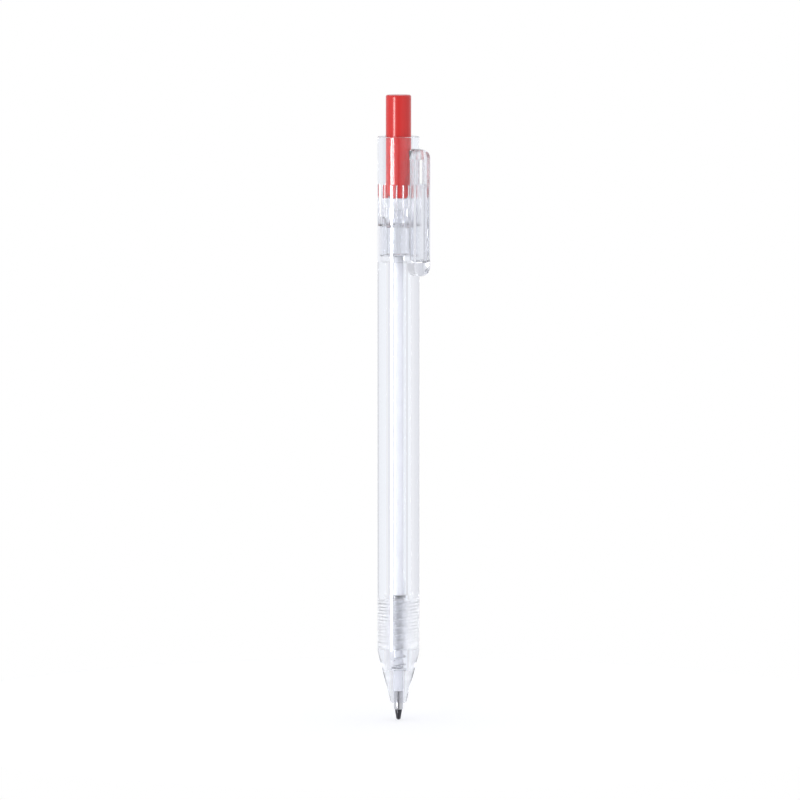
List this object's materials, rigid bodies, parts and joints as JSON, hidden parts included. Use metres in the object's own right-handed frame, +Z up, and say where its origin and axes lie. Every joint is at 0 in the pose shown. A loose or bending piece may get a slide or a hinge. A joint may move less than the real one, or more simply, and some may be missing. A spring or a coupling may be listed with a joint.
{
  "type": "ballpoint pen",
  "caption": "Click ballpoint pen: clear barrel, housing and clip, red push button, screwed nose cone, and a white refill moved by a cam rotor against a spring.",
  "frame": {"origin": "the lowest point of the writing ball, on the pen's axis", "axes": "+Z up the pen's axis from the point to the button, +X from the axis towards the clip"},
  "size_m": [0.0127, 0.0096, 0.1437],
  "materials": {
    "clear_nose": "clear moulded plastic, polished",
    "clear_barrel": "clear moulded plastic, polished",
    "clear_housing": "clear moulded plastic, polished",
    "spring_steel": "bright drawn wire",
    "red_button": "gloss red moulding",
    "clear_pusher": "clear moulded plastic",
    "clear_rotor": "milky clear moulded plastic",
    "white_tube": "smooth white extruded tube",
    "ink": "thick oil ink",
    "follower_grease": "pale grease",
    "bright_metal": "turned and plated",
    "dark_metal": "dark turned metal",
    "ball_carbide": "ground ball"
  },
  "bodies": {
    "shell": {"nose_cone": "clear_nose", "barrel": "clear_barrel", "upper_housing": "clear_housing", "return_spring": "spring_steel"},
    "plunger": {"push_button": "red_button", "cam_pusher": "clear_pusher"},
    "rotor": {"cam_rotor": "clear_rotor"},
    "refill": {"refill_tube": "white_tube", "ink_column": "ink", "ink_follower": "follower_grease", "point_sleeve": "bright_metal", "point_cone": "dark_metal"},
    "ball": {"writing_ball": "ball_carbide"}
  },
  "joints": [
    {"name": "click_slide", "type": "slide", "parent": "shell", "child": "plunger", "axis": [0, 0, 1], "range_m": [-0.0012, 0.005], "stiffness_N_per_m": 200, "deforming": ["return_spring"]},
    {"name": "refill_slide", "type": "slide", "parent": "shell", "child": "refill", "axis": [0, 0, 1], "range_m": [-0.0012, 0.005]},
    {"name": "rotor_turn", "type": "hinge", "parent": "plunger", "child": "rotor", "pos_m": [0, 0, 0.11], "axis": [0, 0, 1], "range_deg": [-22.6, 5.5]},
    {"name": "ball_roll", "type": "hinge", "parent": "refill", "child": "ball", "pos_m": [0, 0, 0.0004], "axis": [0, 1, 0], "continuous": true}
  ],
  "couplings": [
    {"joint": "refill_slide", "follows": "click_slide", "ratio": 1},
    {"joint": "rotor_turn", "follows": "click_slide", "rad_per_m": -78.54}
  ]
}
